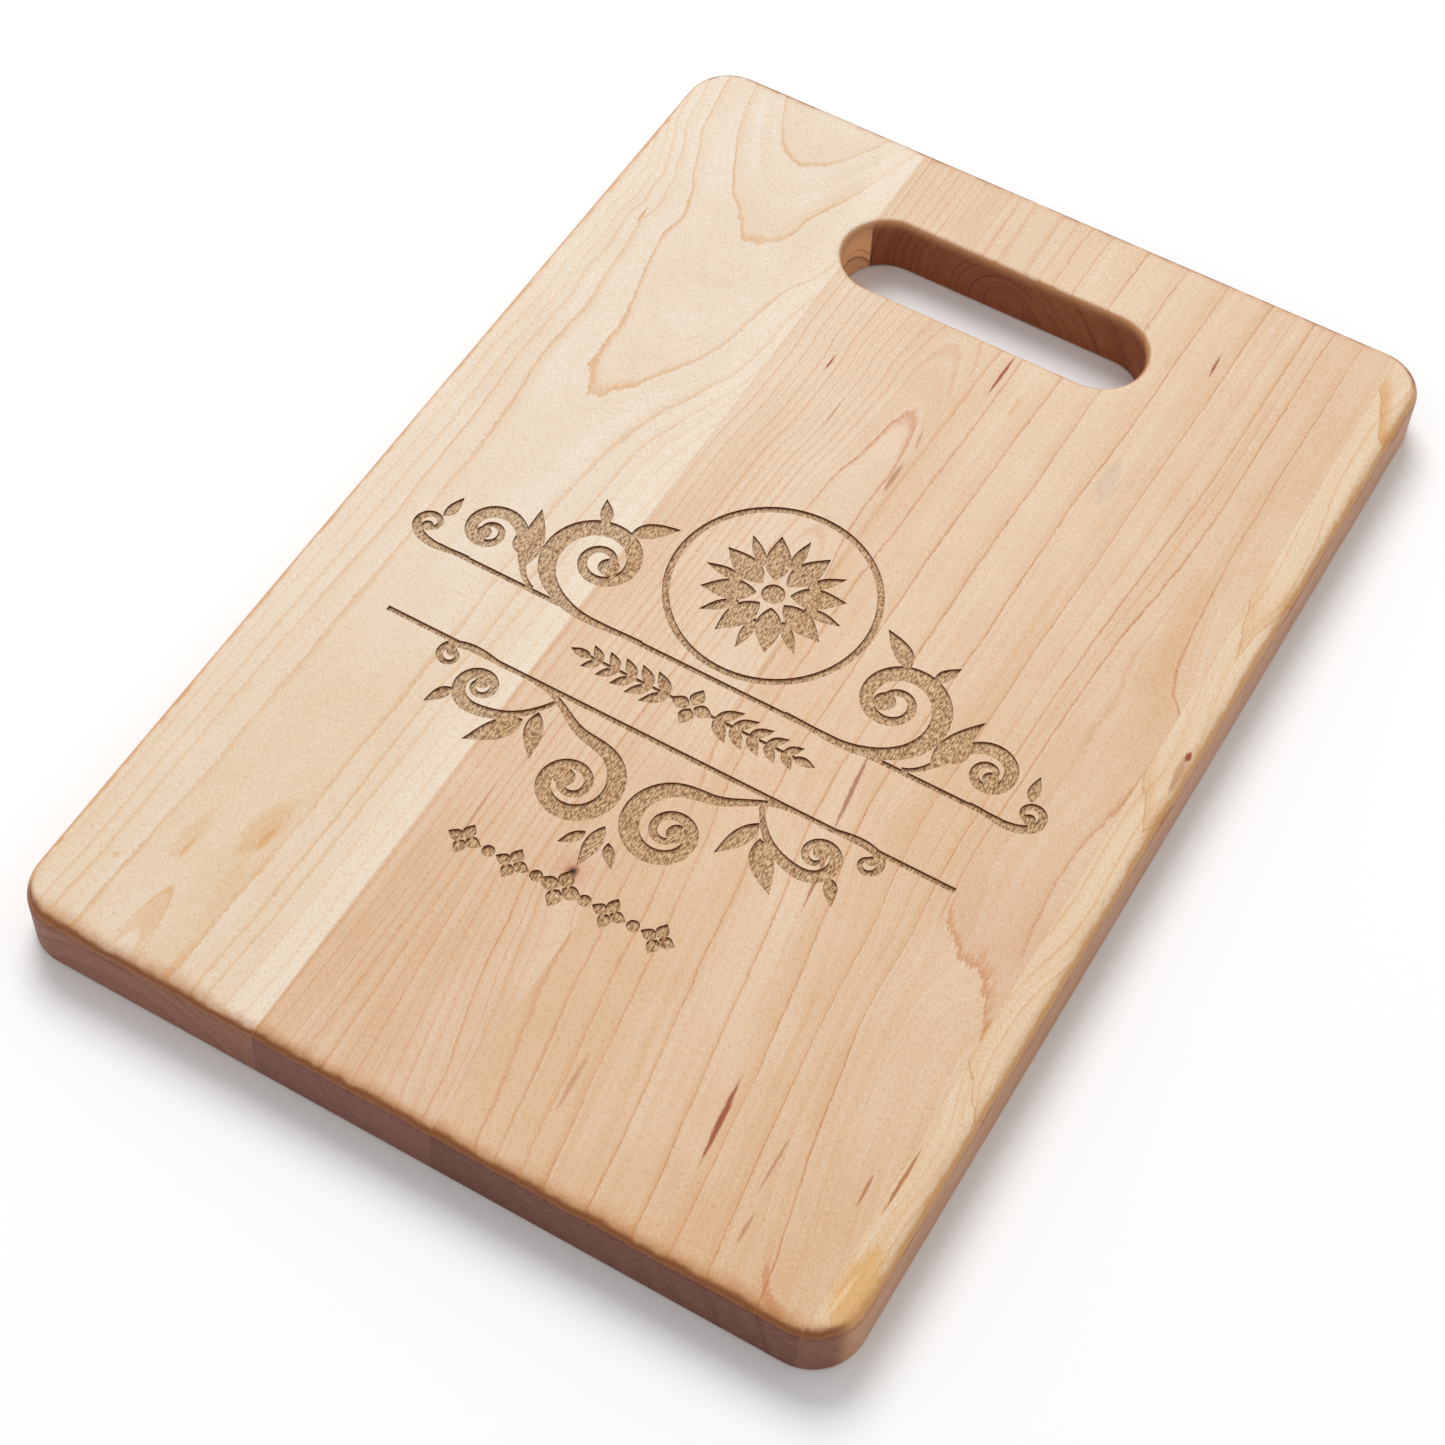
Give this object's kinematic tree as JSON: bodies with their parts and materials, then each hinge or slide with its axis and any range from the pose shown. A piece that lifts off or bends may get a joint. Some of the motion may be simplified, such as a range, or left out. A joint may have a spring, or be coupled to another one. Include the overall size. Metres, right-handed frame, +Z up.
{
  "type": "cutting board",
  "caption": "Rectangular edge-glued maple cutting board with rounded corners, a hand hole through one end and an engraved scroll ornament on the top face.",
  "frame": {"origin": "centre of the underside, the face that the board lies on", "axes": "+X across the board to the right, +Y along the board towards the hand hole, +Z up out of the engraved face"},
  "size_m": [0.2414, 0.3556, 0.0191],
  "materials": {
    "pale_maple": "satin, oiled",
    "pink_maple": "satin, oiled",
    "tan_maple": "satin, oiled",
    "sapwood_maple": "satin, oiled",
    "cured_glue": "matte, cured wood glue flush with the wood"
  },
  "bodies": {
    "root": {"left_stave": "pale_maple", "middle_stave_front": "pink_maple", "middle_stave_back": "pink_maple", "wide_stave": "tan_maple", "edge_stave": "sapwood_maple", "left_glue_line_front": "cured_glue", "left_glue_line_back": "cured_glue", "middle_glue_line_front": "cured_glue", "middle_glue_line_back": "cured_glue", "edge_glue_line": "cured_glue"}
  },
  "joints": []
}
